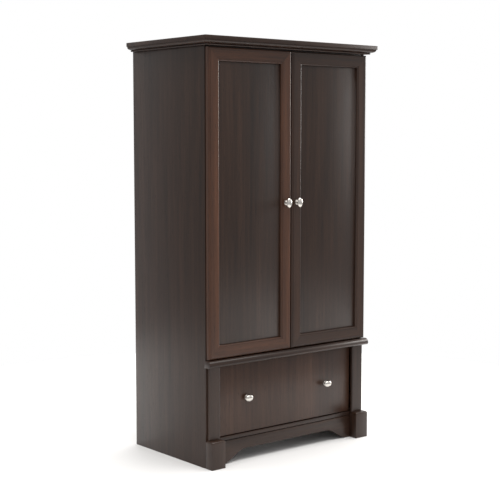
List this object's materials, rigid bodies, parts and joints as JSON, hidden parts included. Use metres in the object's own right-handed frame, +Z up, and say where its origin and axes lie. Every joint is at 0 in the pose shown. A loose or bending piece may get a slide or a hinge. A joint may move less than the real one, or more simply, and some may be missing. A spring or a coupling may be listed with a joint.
{
  "type": "armoire",
  "caption": "Freestanding armoire with two framed doors over one wide drawer, stepped crown, plain pilasters, block feet and an arched apron.",
  "frame": {"origin": "bottom centre of the bounding box, on the floor", "axes": "+Z up, -Y is the front with the doors and drawer, +X to the right seen from the front"},
  "size_m": [0.85, 0.497, 1.56],
  "materials": {
    "espresso_laminate": "satin dark cherry woodgrain laminate",
    "door_panel_laminate": "satin dark woodgrain laminate, vertical grain",
    "inside_laminate": "matt woodgrain paper on board",
    "brushed_nickel": "brushed nickel plate",
    "plated_steel": "zinc plated",
    "nylon": "matt"
  },
  "bodies": {
    "cabinet": {"adjustable_shelf": "inside_laminate", "back_panel": "inside_laminate", "bottom_panel": "espresso_laminate", "crown_front": "espresso_laminate", "crown_left": "espresso_laminate", "crown_right": "espresso_laminate", "fixed_shelf": "inside_laminate", "front_apron": "espresso_laminate", "garment_rod": "brushed_nickel", "header_rail": "espresso_laminate", "left_cabinet_runner": "plated_steel", "left_foot_block": "espresso_laminate", "left_hinge_arm_lower": "plated_steel", "left_hinge_arm_upper": "plated_steel", "left_pilaster": "espresso_laminate", "left_rod_socket": "brushed_nickel", "left_runner_cleat": "inside_laminate", "left_shelf_pin_front": "plated_steel", "left_shelf_pin_rear": "plated_steel", "left_side_panel": "espresso_laminate", "right_cabinet_runner": "plated_steel", "right_foot_block": "espresso_laminate", "right_hinge_arm_lower": "plated_steel", "right_hinge_arm_upper": "plated_steel", "right_pilaster": "espresso_laminate", "right_rod_socket": "brushed_nickel", "right_runner_cleat": "inside_laminate", "right_shelf_pin_front": "plated_steel", "right_shelf_pin_rear": "plated_steel", "right_side_panel": "espresso_laminate", "top_board": "espresso_laminate", "waist_moulding": "espresso_laminate"},
    "left_door": {"left_door_bottom_rail": "espresso_laminate", "left_door_hinge_cup_lower": "plated_steel", "left_door_hinge_cup_upper": "plated_steel", "left_door_hinge_stile": "espresso_laminate", "left_door_knob": "brushed_nickel", "left_door_meeting_stile": "espresso_laminate", "left_door_panel": "door_panel_laminate", "left_door_top_rail": "espresso_laminate"},
    "right_door": {"right_door_bottom_rail": "espresso_laminate", "right_door_hinge_cup_lower": "plated_steel", "right_door_hinge_cup_upper": "plated_steel", "right_door_hinge_stile": "espresso_laminate", "right_door_knob": "brushed_nickel", "right_door_meeting_stile": "espresso_laminate", "right_door_panel": "door_panel_laminate", "right_door_top_rail": "espresso_laminate"},
    "drawer": {"drawer_back": "inside_laminate", "drawer_bottom": "inside_laminate", "drawer_front": "espresso_laminate", "left_drawer_knob": "brushed_nickel", "left_drawer_runner": "plated_steel", "left_drawer_side": "inside_laminate", "right_drawer_knob": "brushed_nickel", "right_drawer_runner": "plated_steel", "right_drawer_side": "inside_laminate"},
    "left_roller": {"left_roller": "nylon"},
    "right_roller": {"right_roller": "nylon"}
  },
  "joints": [
    {"name": "left_door_hinge", "type": "hinge", "parent": "cabinet", "child": "left_door", "pos_m": [-0.385, -0.215, 0.9625], "axis": [0, 0, -1], "range_deg": [0, 95]},
    {"name": "right_door_hinge", "type": "hinge", "parent": "cabinet", "child": "right_door", "pos_m": [0.385, -0.215, 0.9625], "axis": [0, 0, 1], "range_deg": [0, 95]},
    {"name": "drawer_slide", "type": "slide", "parent": "cabinet", "child": "drawer", "axis": [0, -1, 0], "range_m": [0, 0.3]},
    {"name": "left_roller_spin", "type": "hinge", "parent": "cabinet", "child": "left_roller", "pos_m": [-0.3245, -0.1705, 0.1347], "axis": [1, 0, 0], "continuous": true},
    {"name": "right_roller_spin", "type": "hinge", "parent": "cabinet", "child": "right_roller", "pos_m": [0.3245, -0.1705, 0.1347], "axis": [1, 0, 0], "continuous": true}
  ],
  "couplings": [
    {"joint": "left_roller_spin", "follows": "drawer_slide", "rad_per_m": 117.65},
    {"joint": "right_roller_spin", "follows": "drawer_slide", "rad_per_m": 117.65}
  ]
}
